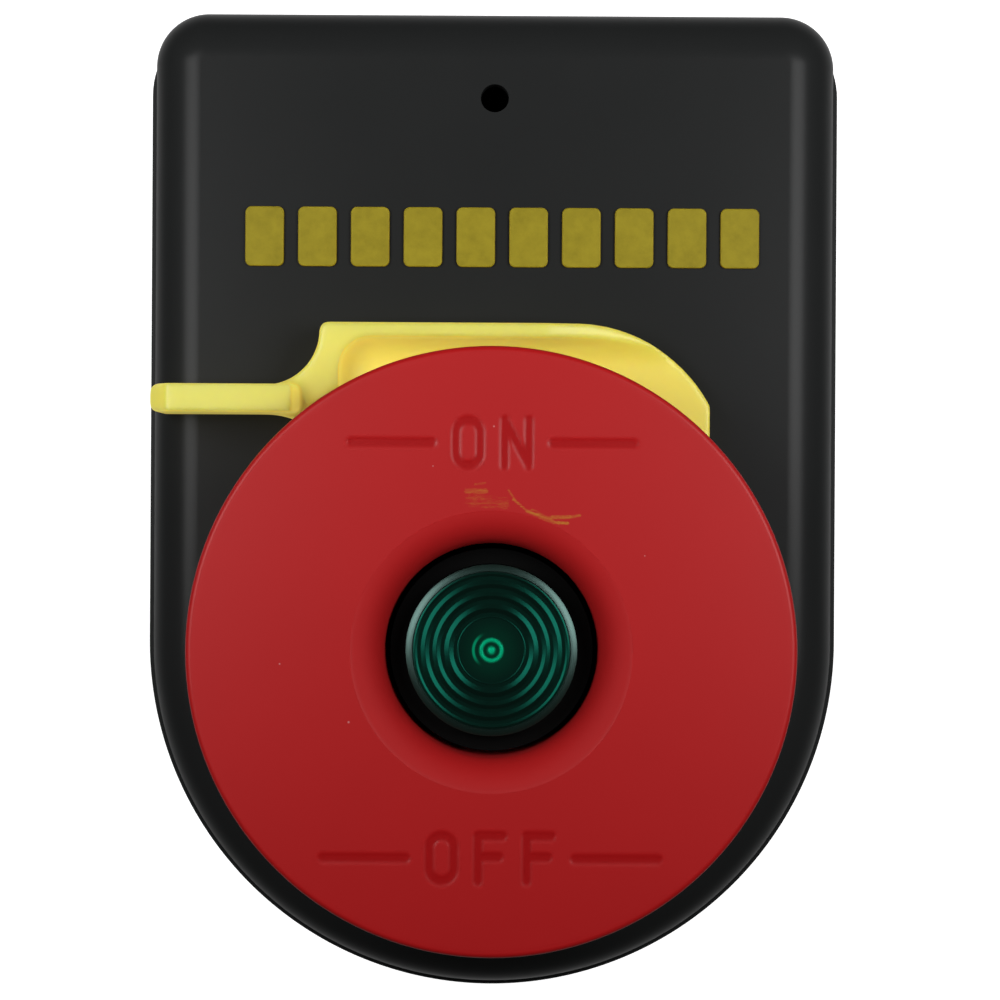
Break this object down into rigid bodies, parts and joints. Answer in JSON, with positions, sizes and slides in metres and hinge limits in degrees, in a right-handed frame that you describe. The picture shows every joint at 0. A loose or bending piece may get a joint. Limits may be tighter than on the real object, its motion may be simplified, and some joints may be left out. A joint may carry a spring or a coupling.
{
  "type": "magnetic motor switch",
  "caption": "Motor starter switch with a round pull-on push-off paddle round a green pilot lamp, a removable yellow safety key and a reset port in a black housing.",
  "frame": {"origin": "on the paddle's axis in the plane of the flat back", "axes": "+X to the right, +Y towards the flat top edge, +Z out of the front"},
  "size_m": [0.103, 0.1455, 0.104],
  "materials": {
    "housing_black": "fine moulded texture",
    "paddle_red": "satin moulded, rubbed in places",
    "key_yellow": "satin moulded",
    "lens_green": "clear green moulding with rings under its face",
    "lamp_black": "matt moulded",
    "device_grey": "matt moulded",
    "carrier_ivory": "matt moulded",
    "dial_orange": "matt moulded",
    "gasket_rubber": "matt",
    "zinc_steel": "zinc plated",
    "core_steel": "stacked laminations",
    "contact_brass": "stamped",
    "coil_copper": "enamelled wire under tape",
    "board_green": "solder resist",
    "led_clear": "clear resin",
    "magnet_grey": "sintered"
  },
  "bodies": {
    "housing": {"rear_box": "housing_black", "front_cover": "housing_black", "cover_gasket": "gasket_rubber", "cable_grommets": "gasket_rubber", "cover_screws": "zinc_steel", "plate_screws": "zinc_steel", "mounting_plate": "zinc_steel", "armature_springs": "zinc_steel", "terminal_screws": "zinc_steel", "relay_screws": "zinc_steel", "reset_spring": "zinc_steel", "mechanism_bracket": "zinc_steel", "bracket_screws": "zinc_steel", "pull_spring": "zinc_steel", "push_spring": "zinc_steel", "mounting_inserts": "contact_brass", "earth_screw": "contact_brass", "fixed_contacts": "contact_brass", "block_contacts": "contact_brass", "contactor_base": "device_grey", "contactor_cover": "device_grey", "overload_relay": "device_grey", "magnet_core": "core_steel", "coil_bobbin": "carrier_ivory", "switch_block": "carrier_ivory", "coil_winding": "coil_copper", "link_pins": "coil_copper", "lamp_tube": "lamp_black", "key_sensor": "lamp_black", "lamp_board": "board_green", "lamp_led": "led_clear", "lens": "lens_green"},
    "paddle_body": {"paddle": "paddle_red", "paddle_yoke": "zinc_steel", "yoke_screws": "zinc_steel", "switch_slider": "carrier_ivory", "slider_bridges": "contact_brass"},
    "key_body": {"safety_key": "key_yellow", "key_magnet": "magnet_grey"},
    "armature_body": {"armature": "core_steel", "contact_carrier": "carrier_ivory", "contact_bridges": "contact_brass"},
    "reset_body": {"reset_plunger": "lamp_black"},
    "dial_body": {"current_dial": "dial_orange"}
  },
  "joints": [
    {"name": "paddle_slide", "type": "slide", "parent": "housing", "child": "paddle_body", "axis": [0, 0, 1], "range_m": [-0.004, 0.003], "stiffness_N_per_m": 600, "deforming": ["pull_spring", "push_spring"]},
    {"name": "key_slide", "type": "slide", "parent": "housing", "child": "key_body", "axis": [-1, 0, 0], "range_m": [0, 0.06]},
    {"name": "armature_slide", "type": "slide", "parent": "housing", "child": "armature_body", "axis": [0, 0, 1], "range_m": [-0.004, 0], "stiffness_N_per_m": 400, "deforming": ["armature_springs"]},
    {"name": "reset_slide", "type": "slide", "parent": "housing", "child": "reset_body", "axis": [0, 0, 1], "range_m": [-0.003, 0], "stiffness_N_per_m": 400, "deforming": ["reset_spring"]},
    {"name": "dial_turn", "type": "hinge", "parent": "housing", "child": "dial_body", "pos_m": [-0.012, 0.06265, 0.046], "axis": [0, 0, 1], "range_deg": [0, 270]}
  ]
}
